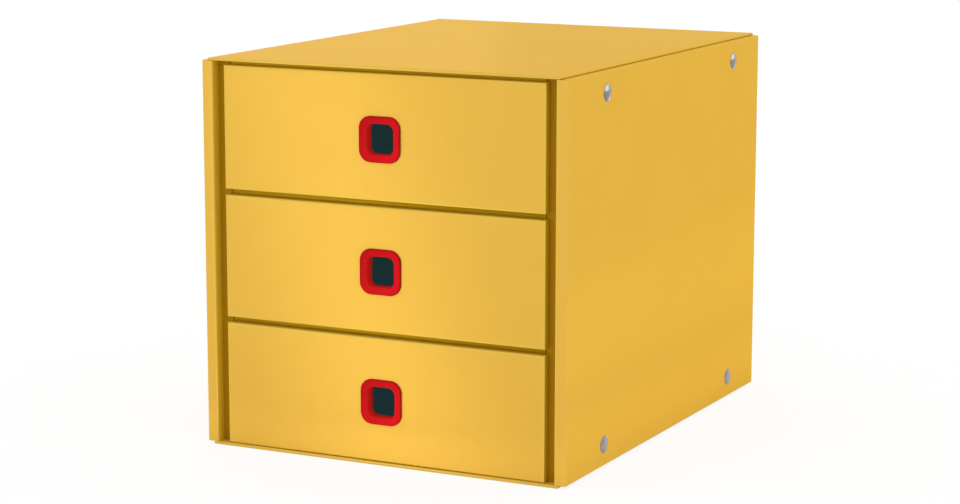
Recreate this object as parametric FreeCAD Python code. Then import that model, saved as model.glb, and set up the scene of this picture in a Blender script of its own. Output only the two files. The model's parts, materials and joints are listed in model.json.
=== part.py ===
import FreeCAD, Part
import math
import os

# Desktop drawer organizer: a folded board cabinet with three pull-out drawers.
# Millimetres. +Z is up, the drawers pull out towards -Y, and +X is the right side seen from the front.
# The origin is on the surface it stands on, at the middle of the cabinet.

# Cabinet
width = 286.0               # outside, over the two side panels
height = 282.0              # outside, over the top and bottom sheets
depth = 358.0               # outside, front edge to back
board = 2.0                 # thickness of the laminated board, everywhere
panel_thickness = 19.0      # a side panel, over its outer and inner skin
crease = 1.0                # outside radius of a sharp fold
wrap_fold = 1.0             # inside radius of the wrap's round folds
flap_reach = 36.0           # how far the top and bottom flaps reach into a side panel
back_flap_reach = 32.0      # how far the back flaps reach forward
flap_spacing = 4.0          # between the ends of neighbouring flaps
skin_short = 0.6            # a side panel ends this much short of the back
fit_gap = 0.3               # between pieces that are slid or dropped into place

# Shelf tabs in the side panels' slots
tab_length = 40.0
tab_reach = 1.5             # a tab stands this much past the inner skin
tab_from_middle = 90.0      # tabs lie this far in front of and behind the middle

# Drawers
bay_names = ["bottom", "middle", "top"]
gap_above_cover = 3.0       # from the top drawer's cover to the top sheet
gap_between_covers = 4.3
gap_beside_cover = 8.25     # from a cover to the strip beside it
side_clearance = 1.7        # between a drawer's side and the panel, room for the press stud caps
slide_gap = 0.3             # under a drawer
lip_clearance = 0.7         # from a drawer's walls up to the lip above
back_clearance = 6.0        # behind a drawer
corner_flap = 34.0          # length of the flaps that join the walls at the corners
walls_below_cover = 3.2     # a drawer's walls end this much below its cover's top edge
cover_space = 2.0           # hollow between the cover and the tray's front wall
cover_recess = 1.7          # a cover lies this far behind the cabinet's front edge
cover_stop = 0.4            # between a closed drawer's front and the step that stops it

# Finger ring
ring_hole = 22.0
ring_hole_corner = 5.3
ring_flange = 5.15          # from the hole's edge to the flange's edge
ring_outer_corner = 8.7
ring_proud = 1.5            # flange in front of the cover
ring_wall = 1.2             # wall of the sleeve through the front
ring_edge = 0.65            # rounding of the flange's edges
ring_height = 43.0          # centre above the drawer's lower edge
ring_fit = 0.15             # sleeve in its holes, and in the clip
clip_border = 2.9           # width of the clip round the sleeve
clip_thick = 1.2
sleeve_past_clip = 0.4

# Press studs: cap and socket on the outer board, nub and post on the inner one
stud_from_front = 65.0      # on the cabinet's sides
stud_from_back = 54.5
stud_from_edge = 17.0       # from the top and from the bottom
drawer_stud_inset = 18.0    # from the ends of a drawer
drawer_stud_height = 52.0   # above a drawer's lower edge
cap_radius = 6.25
cap_height = 1.2
cap_rim_height = 0.55
barrel_radius = 2.1         # the cap's hollow barrel through the board
barrel_wall = 0.4
barrel_past_board = 0.4
socket_radius = 5.0
socket_body_radius = 4.1
socket_flange = 0.4
socket_height = 2.0
nub_flange_radius = 4.6
nub_flange = 0.35
nub_radius = 1.6
nub_neck_radius = 1.35
nub_neck_height = 0.5
nub_play = 0.3              # round the nub in its socket
nub_to_barrel = 0.4         # from the nub's end to the cap's barrel
post_head_radius = 4.0
post_head = 0.6
post_radius = 0.9
post_past_flange = 0.5
stud_seat = 0.15            # between a closed stud's socket and nub flange
stud_fit = 0.06             # radial play of barrels and posts in their holes

# Places that follow from the sizes above
stud_gap = socket_height + stud_seat + nub_flange
front = -depth / 2
back = depth / 2
skin_outer = width / 2
skin_inner = skin_outer - board
flap_outer = skin_inner - stud_gap
flap_inner = flap_outer - board
flat_half = flap_inner - wrap_fold
return_outer = flap_inner
return_inner = return_outer - board
guide_half = skin_outer - panel_thickness
body_half = guide_half - side_clearance
cover_half = return_inner - gap_beside_cover
cover_front = front + cover_recess
tray_front = cover_front + board + cover_space
cover_back = tray_front + board
step_front = cover_back + cover_stop
step_back = step_front + board
inside_back = back - board
sheet_end = inside_back - wrap_fold - fit_gap
inside_top = height - board
tray_back = inside_back - back_clearance
room_for_covers = inside_top - gap_above_cover - board - slide_gap
cover_height = (room_for_covers + gap_between_covers) / len(bay_names) - gap_between_covers
bay_pitch = cover_height + gap_between_covers
wall_height = cover_height - walls_below_cover
bay_opening = slide_gap + wall_height + lip_clearance
floors = [board + number * bay_pitch for number in range(len(bay_names))]

planes = {
    "xy": lambda u, v, w: FreeCAD.Vector(u, v, w),
    "xz": lambda u, v, w: FreeCAD.Vector(u, w, v),
    "yz": lambda u, v, w: FreeCAD.Vector(w, u, v),
}


def prism(points, plane, start, end):
    """Solid between two levels, from an outline of (u, v) or (u, v, corner radius) points."""
    to_space = planes[plane]
    corners = [(point[0], point[1], point[2] if len(point) > 2 else 0.0) for point in points]
    stops = []
    for index, (u, v, radius) in enumerate(corners):
        if not radius:
            stops.append([to_space(u, v, start)])
            continue
        before = corners[index - 1]
        after = corners[(index + 1) % len(corners)]
        here = to_space(u, v, start)
        back_way = (to_space(before[0], before[1], start) - here).normalize()
        on_way = (to_space(after[0], after[1], start) - here).normalize()
        half_angle = back_way.getAngle(on_way) / 2
        trim = radius / math.tan(half_angle)
        middle_way = (back_way + on_way).normalize()
        near = middle_way * (radius / math.sin(half_angle) - radius)
        stops.append([here + back_way * trim, here + near, here + on_way * trim])
    edges = []
    for index, stop in enumerate(stops):
        if len(stop) == 3:
            edges.append(Part.Arc(*stop).toShape())
        following = stops[(index + 1) % len(stops)][0]
        if stop[-1].distanceToPoint(following) > 1e-6:
            edges.append(Part.LineSegment(stop[-1], following).toShape())
    face = Part.Face(Part.Wire(edges))
    return face.extrude(to_space(0, 0, end - start))


def slab(x0, x1, y0, y1, z0, z1):
    """Box between two opposite corners."""
    return prism([(x0, y0), (x1, y0), (x1, y1), (x0, y1)], "xy", z0, z1)


def rounded_square(side, corner, centre_z, y0, y1):
    """Square bar along Y with rounded corners, centred on the drawer's middle."""
    half = side / 2
    low = centre_z - half
    high = centre_z + half
    points = [(-half, low, corner), (half, low, corner), (half, high, corner), (-half, high, corner)]
    return prism(points, "xz", y0, y1)


def mirrored(shape):
    """The same piece on the left side."""
    return shape.mirror(FreeCAD.Vector(0, 0, 0), FreeCAD.Vector(1, 0, 0))


def joined(shapes):
    """One solid from pieces of the same sheet."""
    return shapes[0].multiFuse(shapes[1:]).removeSplitter()


def spun(steps, at):
    """Solid of revolution round the X direction, from (distance along X, radius) steps.

    A step of two pairs is an arc: a point it passes and the point it ends on."""
    first = FreeCAD.Vector(steps[0][0], steps[0][1], 0)
    edges = []
    last = first
    for step in steps[1:]:
        if len(step) == 4:
            over = FreeCAD.Vector(step[0], step[1], 0)
            end = FreeCAD.Vector(step[2], step[3], 0)
            edges.append(Part.Arc(last, over, end).toShape())
        else:
            end = FreeCAD.Vector(step[0], step[1], 0)
            edges.append(Part.LineSegment(last, end).toShape())
        last = end
    edges.append(Part.LineSegment(last, first).toShape())
    face = Part.Face(Part.Wire(edges))
    solid = face.revolve(FreeCAD.Vector(0, 0, 0), FreeCAD.Vector(1, 0, 0), 360)
    solid.translate(at)
    return solid


def round_front_edges(shape, level, radius):
    """Round the edges that lie in the front face at the given Y."""
    edges = [edge for edge in shape.Edges
             if all(abs(vertex.Y - level) < 1e-6 for vertex in edge.Vertexes)]
    return shape.makeFillet(radius, edges)


def save(name, shape):
    shape.exportStep("parts/" + name + ".step")


# Press studs. Each is made for the right side, where the outer board's inner face is at board_face.

def stud_cap(board_face, y, z):
    """Domed cap outside, with the hollow barrel that goes through the board."""
    barrel_bore = barrel_radius - barrel_wall
    dome_radius = cap_radius - cap_rim_height / 2
    drop = cap_height - cap_rim_height
    ball = (dome_radius ** 2 + drop ** 2) / (2 * drop)
    halfway = cap_height - ball + math.sqrt(ball ** 2 - (dome_radius / 2) ** 2)
    steps = [
        (cap_height, 0.0),
        (halfway, dome_radius / 2, cap_rim_height, dome_radius),
        (cap_rim_height / 2, cap_radius, 0.0, dome_radius),
        (0.0, barrel_radius),
        (-board - barrel_past_board, barrel_radius),
        (-board - barrel_past_board, barrel_bore),
        (0.0, barrel_bore),
        (0.0, 0.0),
    ]
    return spun(steps, FreeCAD.Vector(board_face + board, y, z))


def stud_socket(board_face, y, z):
    """Spring socket on the inner face of the outer board."""
    inlet = barrel_radius + stud_fit
    socket_bore = nub_radius + nub_play
    steps = [
        (0.0, inlet),
        (0.0, socket_radius),
        (-socket_flange, socket_radius),
        (-socket_flange, socket_body_radius),
        (-socket_height, socket_body_radius),
        (-socket_height, socket_bore),
        (-socket_flange - stud_fit, socket_bore),
        (-socket_flange - stud_fit, inlet),
    ]
    return spun(steps, FreeCAD.Vector(board_face, y, z))


def stud_nub(flap_face, y, z):
    """Nub that snaps into the socket, on the outer face of the flap."""
    bore = post_radius + stud_fit
    top = stud_gap - barrel_past_board - nub_to_barrel
    steps = [
        (0.0, bore),
        (0.0, nub_flange_radius),
        (nub_flange, nub_flange_radius),
        (nub_flange, nub_neck_radius),
        (nub_flange + nub_neck_height, nub_neck_radius),
        ((nub_flange + nub_neck_height + top) / 2, nub_radius, top, nub_neck_radius),
        (top, bore),
    ]
    return spun(steps, FreeCAD.Vector(flap_face, y, z))


def stud_post(flap_face, y, z):
    """Post whose head lies on the flap's inner face and whose shank holds the nub."""
    tip = nub_flange + post_past_flange
    steps = [
        (tip, 0.0),
        (tip, post_radius),
        (-board, post_radius),
        (-board, post_head_radius),
        (-board - post_head, post_head_radius),
        (-board - post_head, 0.0),
    ]
    return spun(steps, FreeCAD.Vector(flap_face, y, z))


def save_studs(prefix, board_face, places):
    """Each kind of stud piece in one group, on both sides."""
    flap_face = board_face - stud_gap
    kinds = {
        "caps": (stud_cap, board_face),
        "sockets": (stud_socket, board_face),
        "nubs": (stud_nub, flap_face),
        "posts": (stud_post, flap_face),
    }
    for kind, (make, face) in kinds.items():
        solids = []
        for y, z in places:
            solid = make(face, y, z)
            solids.append(solid)
            solids.append(mirrored(solid))
        save(prefix + "_stud_" + kind, Part.makeCompound(solids))


def bore_through(shape, face, radius, places):
    """Round holes through the board that lies just inside the given face, on the right side."""
    for y, z in places:
        hole = Part.makeCylinder(
            radius, 2 * board, FreeCAD.Vector(face - 1.5 * board, y, z), FreeCAD.Vector(1, 0, 0))
        shape = shape.cut(hole)
    return shape


cabinet_studs = [
    (y, z)
    for y in (front + stud_from_front, back - stud_from_back)
    for z in (stud_from_edge, height - stud_from_edge)
]


# Cabinet

def wrap_flap(z_edge, z_inside, z_end):
    """Flap folded from the top or bottom sheet into the right side panel."""
    points = [
        (flat_half - board, z_edge),
        (flap_outer, z_edge, wrap_fold + board),
        (flap_outer, z_end),
        (flap_inner, z_end),
        (flap_inner, z_inside, wrap_fold),
        (flat_half - board, z_inside),
    ]
    start = front + board + fit_gap
    end = back - board - wrap_fold - flap_spacing
    return prism(points, "xz", start, end)


def back_flap():
    """Flap folded forward from the back sheet into the right side panel."""
    points = [
        (flat_half - board, back),
        (flap_outer, back, wrap_fold + board),
        (flap_outer, back - back_flap_reach),
        (flap_inner, back - back_flap_reach),
        (flap_inner, inside_back, wrap_fold),
        (flat_half - board, inside_back),
    ]
    return prism(points, "xy", flap_reach + flap_spacing, height - flap_reach - flap_spacing)


def cabinet_wrap():
    """Top, back and bottom in one folded sheet, with flaps that slip into the side panels."""
    round_outside = wrap_fold + board
    profile = [
        (front, 0.0),
        (back, 0.0, round_outside),
        (back, height, round_outside),
        (front, height),
        (front, inside_top),
        (inside_back, inside_top, wrap_fold),
        (inside_back, board, wrap_fold),
        (front, board),
    ]
    sheet = prism(profile, "yz", -flat_half, flat_half)
    flaps = [
        wrap_flap(height, inside_top, height - flap_reach),
        wrap_flap(0.0, board, flap_reach),
        back_flap(),
    ]
    flaps = [bore_through(flap, flap_outer, post_radius + stud_fit, cabinet_studs) for flap in flaps]
    return joined([sheet] + flaps + [mirrored(flap) for flap in flaps])


def shelf_tabs(level):
    """Tabs of the right edge of a shelf, two in a row."""
    tabs = []
    for middle in (-tab_from_middle, tab_from_middle):
        tabs.append(slab(guide_half - board, guide_half + board + tab_reach,
                         middle - tab_length / 2, middle + tab_length / 2, level - board, level))
    return tabs


def tab_slots(level):
    """Slots for the tabs in the right side panel's inner skin."""
    slots = []
    for middle in (-tab_from_middle, tab_from_middle):
        reach = tab_length / 2 + fit_gap
        slots.append(slab(guide_half - board, guide_half + 2 * board,
                          middle - reach, middle + reach, level - board - fit_gap, level + fit_gap))
    return slots


def side_panel():
    """Right side panel, folded from one sheet: outer skin, front strip, step and inner skin."""
    profile = [
        (skin_outer, front, crease),
        (skin_outer, back - skin_short),
        (skin_inner, back - skin_short),
        (skin_inner, front + board),
        (return_outer, front + board),
        (return_outer, step_back, crease),
        (guide_half + board, step_back),
        (guide_half + board, sheet_end),
        (guide_half, sheet_end),
        (guide_half, step_front, crease),
        (return_inner, step_front),
        (return_inner, front, crease),
    ]
    panel = prism(profile, "xy", board, inside_top)
    relief = wrap_fold + fit_gap
    for low, high in ((board, board + relief), (inside_top - relief, inside_top)):
        panel = panel.cut(slab(return_inner, return_outer, front + board, step_back, low, high))
    for level in floors[1:] + [inside_top]:
        for slot in tab_slots(level):
            panel = panel.cut(slot)
    return bore_through(panel, skin_outer, barrel_radius + stud_fit, cabinet_studs)


def shelf(level, lip_bottom):
    """Flat shelf with a lip turned down at its front and tabs at its sides."""
    profile = [
        (step_front, level, crease),
        (sheet_end, level),
        (sheet_end, level - board),
        (step_back, level - board),
        (step_back, lip_bottom),
        (step_front, lip_bottom),
    ]
    half = guide_half - fit_gap
    sheet = prism(profile, "yz", -half, half)
    tabs = shelf_tabs(level)
    return joined([sheet] + tabs + [mirrored(tab) for tab in tabs])


# Drawers

def tray(low):
    """Drawer body, folded from one sheet and open at the top."""
    high = low + wall_height
    inside_floor = low + board
    half = body_half
    wall_outer = half - board - stud_gap
    wall_inner = wall_outer - board
    floor_and_sides = prism([
        (-half, low, crease),
        (half, low, crease),
        (half, high),
        (half - board, high),
        (half - board, inside_floor),
        (board - half, inside_floor),
        (board - half, high),
        (-half, high),
    ], "xz", tray_front + crease, tray_back - crease)
    floor_and_ends = prism([
        (tray_front, low, crease),
        (tray_back, low, crease),
        (tray_back, high),
        (tray_back - board, high),
        (tray_back - board, inside_floor),
        (tray_front + board, inside_floor),
        (tray_front + board, high),
        (tray_front, high),
    ], "yz", -wall_outer + crease, wall_outer - crease)
    corners = []
    for end, inward in ((tray_front, 1), (tray_back, -1)):
        corners.append(prism([
            (wall_inner - board, end),
            (wall_outer, end, crease),
            (wall_outer, end + inward * corner_flap),
            (wall_inner, end + inward * corner_flap),
            (wall_inner, end + inward * board),
            (wall_inner - board, end + inward * board),
        ], "xy", inside_floor + fit_gap, high))
    places = drawer_studs(low)
    corners = [bore_through(corner, wall_outer, post_radius + stud_fit, places) for corner in corners]
    body = joined([floor_and_sides, floor_and_ends] + corners + [mirrored(corner) for corner in corners])
    body = bore_through(body, half, barrel_radius + stud_fit, places)
    body = mirrored(bore_through(mirrored(body), half, barrel_radius + stud_fit, places))
    return body.cut(ring_opening(low, tray_front, tray_front + board))


def drawer_studs(low):
    """Places of the corner studs on a drawer's side wall."""
    level = low + drawer_stud_height
    return [(tray_front + drawer_stud_inset, level), (tray_back - drawer_stud_inset, level)]


def ring_opening(low, y0, y1):
    """Cutter for the hole that the finger ring's sleeve goes through."""
    play = ring_wall + ring_fit
    return rounded_square(ring_hole + 2 * play, ring_hole_corner + play, low + ring_height,
                          y0 - board, y1 + board)


def front_cover(low):
    """Front board of a drawer, its edges folded back round the tray's front wall."""
    high = low + cover_height
    inner_half = cover_half - board
    block = slab(-cover_half, cover_half, cover_front, cover_back, low, high)
    block = round_front_edges(block, cover_front, crease)
    hollow = slab(-inner_half, inner_half, cover_front + board, cover_back, low + board, high - board)
    tray_seat = slab(-inner_half, inner_half, tray_front, cover_back, low, low + board)
    return block.cut(hollow).cut(tray_seat).cut(ring_opening(low, cover_front, cover_front + board))


def finger_ring(low):
    """Moulded ring: a rounded flange in front and a sleeve through the drawer's front."""
    centre = low + ring_height
    face = cover_front - ring_proud
    end = cover_back + clip_thick + sleeve_past_clip
    ring_outer = ring_hole + 2 * ring_flange
    flange = rounded_square(ring_outer, ring_outer_corner, centre, face, cover_front)
    sleeve = rounded_square(ring_hole + 2 * ring_wall, ring_hole_corner + ring_wall, centre,
                            cover_front - ring_proud / 2, end)
    hole = rounded_square(ring_hole, ring_hole_corner, centre, face - board, end + board)
    return round_front_edges(flange.fuse(sleeve).cut(hole).removeSplitter(), face, ring_edge)


def ring_clip(low):
    """Flat clip that holds the ring from inside the drawer."""
    centre = low + ring_height
    start = cover_back
    border = ring_wall + ring_fit + clip_border
    plate = rounded_square(ring_hole + 2 * border, ring_hole_corner + border, centre,
                           start, start + clip_thick)
    return plate.cut(ring_opening(low, start, start + clip_thick))


os.makedirs("parts", exist_ok=True)

save("cabinet_wrap", cabinet_wrap())
right_panel = side_panel()
save("side_panel_right", right_panel)
save("side_panel_left", mirrored(right_panel))
save("shelf_lower", shelf(floors[1], floors[0] + bay_opening))
save("shelf_upper", shelf(floors[2], floors[1] + bay_opening))
save("top_liner", shelf(inside_top, floors[2] + bay_opening))
save_studs("cabinet", skin_inner, cabinet_studs)

for bay_name, floor in zip(bay_names, floors):
    lower_edge = floor + slide_gap
    drawer = "drawer_" + bay_name
    save(drawer + "_tray", tray(lower_edge))
    save(drawer + "_front", front_cover(lower_edge))
    save(drawer + "_ring", finger_ring(lower_edge))
    save(drawer + "_ring_clip", ring_clip(lower_edge))
    save_studs(drawer, body_half - board, drawer_studs(lower_edge))
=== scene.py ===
import json
import math

import bmesh
import bpy
import numpy as np
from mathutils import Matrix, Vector

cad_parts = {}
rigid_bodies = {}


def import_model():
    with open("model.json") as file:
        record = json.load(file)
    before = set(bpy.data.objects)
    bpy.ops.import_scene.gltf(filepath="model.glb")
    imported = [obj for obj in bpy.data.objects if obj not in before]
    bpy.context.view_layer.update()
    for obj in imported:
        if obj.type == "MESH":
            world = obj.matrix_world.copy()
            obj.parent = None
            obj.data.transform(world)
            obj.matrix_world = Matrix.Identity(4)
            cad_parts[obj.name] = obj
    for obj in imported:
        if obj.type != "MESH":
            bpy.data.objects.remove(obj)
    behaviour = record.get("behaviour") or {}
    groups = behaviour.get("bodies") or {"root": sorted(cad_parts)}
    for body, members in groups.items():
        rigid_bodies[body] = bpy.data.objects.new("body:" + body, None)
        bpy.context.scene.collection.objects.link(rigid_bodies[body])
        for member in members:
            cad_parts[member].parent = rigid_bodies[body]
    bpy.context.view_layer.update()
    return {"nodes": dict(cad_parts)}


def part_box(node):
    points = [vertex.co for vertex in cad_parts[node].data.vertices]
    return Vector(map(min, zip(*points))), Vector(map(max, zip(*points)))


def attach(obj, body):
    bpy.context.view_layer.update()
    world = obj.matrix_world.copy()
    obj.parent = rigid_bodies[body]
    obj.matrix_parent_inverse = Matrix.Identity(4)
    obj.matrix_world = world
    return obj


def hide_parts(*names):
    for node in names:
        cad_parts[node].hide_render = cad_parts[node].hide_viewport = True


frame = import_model()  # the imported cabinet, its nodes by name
bays = ("Top", "Middle", "Bottom")

# Shapes are worked out in millimetres and turned into metres when they become meshes.
mm = 0.001
hair = 0.001  # places closer than this, in millimetres, are the same
smoothAngle = 38.0
right, deep, up = Vector((1, 0, 0)), Vector((0, 1, 0)), Vector((0, 0, 1))


def boxOf(node):
    low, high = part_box(node)
    return low / mm, high / mm


def within(low, value, high):
    return low - hair <= value <= high + hair


# Node trees: values as expressions, every other node through add()

def operator(kind, order=1):
    # an order of -1 swaps the two values
    return lambda value, other: value.math(kind, *(value, other)[::order])


class Value:
    def __init__(self, maker, socket):
        self.maker, self.socket = maker, socket

    def math(self, kind, *values):
        return self.maker.value("Math", dict(enumerate(values)), operation=kind)

    __add__, __sub__, __rsub__ = operator("ADD"), operator("SUBTRACT"), operator("SUBTRACT", -1)
    __mul__, __truediv__, __pow__ = operator("MULTIPLY"), operator("DIVIDE"), operator("POWER")
    __radd__ = operator("ADD", -1)

    def sine(self):
        return self.math("SINE", self)

    def cosine(self):
        return self.math("COSINE", self)

    def clamped(self):
        return self.math("MINIMUM", self.math("MAXIMUM", self, 0.0), 1.0)


class Maker:
    def __init__(self, tree):
        self.tree = tree

    def add(self, kind, inputs=None, **settings):
        # a short kind is a shader node
        node = self.tree.nodes.new(kind if "Node" in kind else "ShaderNode" + kind)
        for name, setting in settings.items():
            setattr(node, name, setting)
        for key, given in (inputs or {}).items():
            if isinstance(given, Value):
                self.tree.links.new(given.socket, node.inputs[key])
            else:
                node.inputs[key].default_value = given
        return node

    def value(self, kind, inputs=None, output=0, **settings):
        return Value(self, self.add(kind, inputs, **settings).outputs[output])

    def mixColour(self, share, first, second):
        return self.value("Mix", {0: share, 6: first, 7: second}, 2, data_type="RGBA")

    def coordinates(self, output="Object"):
        return self.value("TexCoord", None, output)

    def noise(self, spot, scale, detail=2.0, roughness=0.5):
        inputs = {"Vector": spot, "Scale": scale, "Detail": detail, "Roughness": roughness}
        return self.value("TexNoise", inputs)

    def attribute(self, name):
        return self.value("Attribute", None, 2, attribute_name=name)

    def separate(self, vector):
        parts = self.add("SeparateXYZ", {0: vector})
        return [Value(self, output) for output in parts.outputs]


def newMaterial(name):
    material = bpy.data.materials.new(name)
    material.use_nodes = True
    material.node_tree.nodes.clear()
    return material, Maker(material.node_tree)


def finishMaterial(maker, colour, roughness, height, fixed):
    normal = maker.value("Bump", {"Strength": 1.0, "Distance": 1.0, "Height": height})
    varying = {"Base Color": colour, "Roughness": roughness, "Normal": normal}
    shader = maker.value("BsdfPrincipled", {**fixed, **varying})
    maker.add("OutputMaterial", {"Surface": shader})


def glossOf(finish):
    return {"Metallic": finish["metallic"], "Specular IOR Level": 0.0, "Specular Tint": finish["sheen"]}


def shade(colour, factor):
    return tuple(part * factor for part in colour) + (1.0,)


def scuffed(maker, spot, wear, surface):
    # scratches where the noise stands out, and only where the piece is worn
    return (maker.noise(spot, *surface["scuffs"]) * 2.0 - surface["scuffThreshold"]).clamped() * wear


# Finishes. A noise is its spots to the metre, its detail and, where it isn't half, its roughness.

yellowFilm = {
    "colour": (0.84, 0.503, 0.074),
    "worn": (0.90, 0.62, 0.17),  # where the film is stretched over a fold
    "metallic": 0.16,
    "sheen": (0.88, 0.66, 0.26, 1.0),  # its reflection at a low angle
    "roughness": 0.16,
}
edgeFilm = {**yellowFilm, "colour": (0.77, 0.50, 0.08), "worn": (0.82, 0.58, 0.16)}
# the crease film is lighter and greener: partly the film's colour over a fold, partly painted light lifting
# the slits' shade
creaseAndLightFilm = {**yellowFilm, "colour": (0.82, 0.58, 0.08), "worn": (0.86, 0.64, 0.14)}
# darker, greener copies of the yellow film: painted shade for faces in the gaps and slits between parts
revealShadeFilm = {**yellowFilm, "colour": (0.80, 0.55, 0.028), "worn": (0.80, 0.58, 0.08), "metallic": 0.1}
shadeFilm = {**revealShadeFilm, "colour": (0.64, 0.39, 0.012), "worn": (0.66, 0.43, 0.05), "metallic": 0.12}
lipShadeFilm = {**revealShadeFilm, "colour": (0.47, 0.275, 0.006), "worn": (0.52, 0.33, 0.03), "metallic": 0.2}
innerShadeFilm = {**revealShadeFilm, "colour": (0.43, 0.236, 0.006), "worn": (0.48, 0.29, 0.03), "roughness": 0.3}
filmSurface = {
    "clouds": (14.0, 3.0),  # slow drift of the colour over a panel
    "drift": 0.10,
    "patches": (55.0, 4.0),  # duller and glossier places
    "patchRoughness": 0.06,
    "scuffs": (700.0, 4.0, 0.6),
    "scuffThreshold": 0.7,
    "scuffColour": 0.12,  # share of the worn colour in a scuff, and along every fold
    "foldColour": 0.06,
    "scuffRoughness": 0.15,
    "peel": (1100.0, 2.0),
    "peelHeight": 0.002,  # millimetres
    "waves": (16.0, 1.0),
    "waveHeight": 0.02,
}
liningPaper = {
    "dark": (0.006, 0.016, 0.018, 1),
    "light": (0.016, 0.034, 0.038, 1),
    # painted light: the lining glows faintly, so the inside of a drawer never goes black
    "glow": (0.010, 0.026, 0.028, 1),
    "gloss": 0.3,
    "roughness": 0.62,
    "clouds": (20.0, 3.0),
    "cloudRoughness": 0.15,
    "fibres": (900.0, 5.0, 0.65),
    "fibreHeight": 0.02,  # millimetres
}
ringFinish = {
    # the face runs from deep to bright through painted shade and light across it, and through the moulding
    # streaks
    "deep": (0.54, 0.007, 0.012, 1),
    "bright": (0.75, 0.009, 0.014, 1),
    # painted light: the hole's inner wall, which lies in shade, is painted a lighter red
    "throatLight": (1.0, 0.028, 0.020, 1),
    # painted shade: the flange's outer edge, where it meets the cover
    "rim": (0.22, 0.008, 0.004, 1),
    "rimShadeShare": 0.8,
    "worn": (0.80, 0.08, 0.07, 1),
    "wornShare": 0.3,
    "metallic": 0.12,
    "sheen": (0.90, 0.10, 0.09, 1),
    "roughness": 0.30,
    "flowAndShade": (120.0, 3.0),  # streaks from the moulding
    "flowColour": 0.4,
    "flowRoughness": 0.06,
    "scuffs": (900.0, 4.0, 0.7),
    "scuffThreshold": 0.8,
    "scuffRoughness": 0.2,
    "grain": (4200.0, 2.0),
    "grainHeight": 0.002,  # millimetres
}
nickel = {
    "roughness": 0.10,
    "spots": (700.0, 4.0),
    "spotColour": 0.5,
    "spotRoughness": 0.05,
    "spotHeight": 0.004,  # millimetres
    "dullRoughness": 0.1,  # what the spots add on a stud's hidden pieces
    "turning": 60.0,  # rings from the lathe on a cap, and what they add
    "turningRoughness": 0.12,
    "rimHighlightSharpness": 8.0,
}
# a cap's rim is a lighter nickel: a painted highlight round its edge
capMetal = {"light": (0.215, 0.205, 0.215, 1), "dark": (0.155, 0.15, 0.155, 1),
            "rim": (0.34, 0.325, 0.325, 1)}
plainMetal = {"light": (0.62, 0.60, 0.57, 1), "dark": (0.48, 0.46, 0.44, 1)}


def boardFilm(name, finish):
    material, maker = newMaterial(name)
    spot, wear, surface = maker.coordinates(), maker.attribute("wear"), filmSurface
    clouds = maker.noise(spot, *surface["clouds"])
    patches = maker.noise(spot, *surface["patches"])
    scuffs = scuffed(maker, spot, wear, surface)
    drift = (clouds - 0.5) * (2 * surface["drift"]) + 0.5
    film = maker.mixColour(drift, shade(finish["colour"], 0.90), shade(finish["colour"], 1.10))
    stretched = scuffs * surface["scuffColour"] + wear * surface["foldColour"]
    colour = maker.mixColour(stretched, film, shade(finish["worn"], 1.0))
    rough = finish["roughness"] + (patches - 0.5) * surface["patchRoughness"]
    rough = rough + scuffs * surface["scuffRoughness"]
    peel = maker.noise(spot, *surface["peel"]) * (surface["peelHeight"] * mm)
    waves = maker.noise(spot, *surface["waves"]) * (surface["waveHeight"] * mm)
    finishMaterial(maker, colour, rough, peel + waves, glossOf(finish))
    return material


def drawerLining(finish):
    # dark paper that lines the drawers, with a faint glow of its own: painted light in the unlit drawers
    material, maker = newMaterial("drawerLining")
    spot = maker.coordinates()
    fibres = maker.noise(spot, *finish["fibres"])
    clouds = maker.noise(spot, *finish["clouds"])
    colour = maker.mixColour(fibres * 0.6 + clouds * 0.4, finish["dark"], finish["light"])
    rough = finish["roughness"] + (clouds - 0.5) * finish["cloudRoughness"]
    fixed = {"Specular IOR Level": finish["gloss"], "Emission Color": finish["glow"],
             "Emission Strength": 1.0}
    finishMaterial(maker, colour, rough, fibres * (finish["fibreHeight"] * mm), fixed)
    return material


def ringPlastic(finish):
    material, maker = newMaterial("ringPlastic")
    spot = maker.coordinates()
    flowAndShade = maker.noise(spot, *finish["flowAndShade"])
    grain = maker.noise(spot, *finish["grain"])
    scuffs = scuffed(maker, spot, maker.attribute("wear"), finish)
    # painted shade and light across the face, with the moulding streaks
    share = maker.attribute("flowAndShade") + (flowAndShade - 0.5) * finish["flowColour"]
    plain = maker.mixColour(share.clamped(), finish["deep"], finish["bright"])
    # painted light on the hole's inner wall
    inHole = maker.mixColour(maker.attribute("throatLight"), plain, finish["throatLight"])
    # painted shade towards the flange's outer edge
    edged = maker.mixColour(maker.attribute("rim") * finish["rimShadeShare"], inHole, finish["rim"])
    colour = maker.mixColour(scuffs * finish["wornShare"], edged, finish["worn"])
    rough = finish["roughness"] + (flowAndShade - 0.5) * finish["flowRoughness"]
    rough = rough + scuffs * finish["scuffRoughness"]
    finishMaterial(maker, colour, rough, grain * (finish["grainHeight"] * mm), glossOf(finish))
    return material


def studNickel(name, metal):
    material, maker = newMaterial(name)
    spots = maker.noise(maker.coordinates(), *nickel["spots"])
    colour = maker.mixColour(spots * nickel["spotColour"], metal["light"], metal["dark"])
    if "rim" in metal:  # a cap carries its own distance from the middle
        across = maker.attribute("across")
        rings = maker.value("TexNoise", {"W": across, "Scale": nickel["turning"]}, noise_dimensions="1D")
        turned = rings * nickel["turningRoughness"]
        # painted highlight: the cap is lighter towards its rim
        colour = maker.mixColour(across ** nickel["rimHighlightSharpness"], colour, metal["rim"])
    else:
        turned = spots * nickel["dullRoughness"]
    rough = nickel["roughness"] + turned + spots * nickel["spotRoughness"]
    finishMaterial(maker, colour, rough, spots * (nickel["spotHeight"] * mm), {"Metallic": 1.0})
    return material


# Folded board: points in pairs, one on each side, and every fold carries on from an edge

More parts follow.
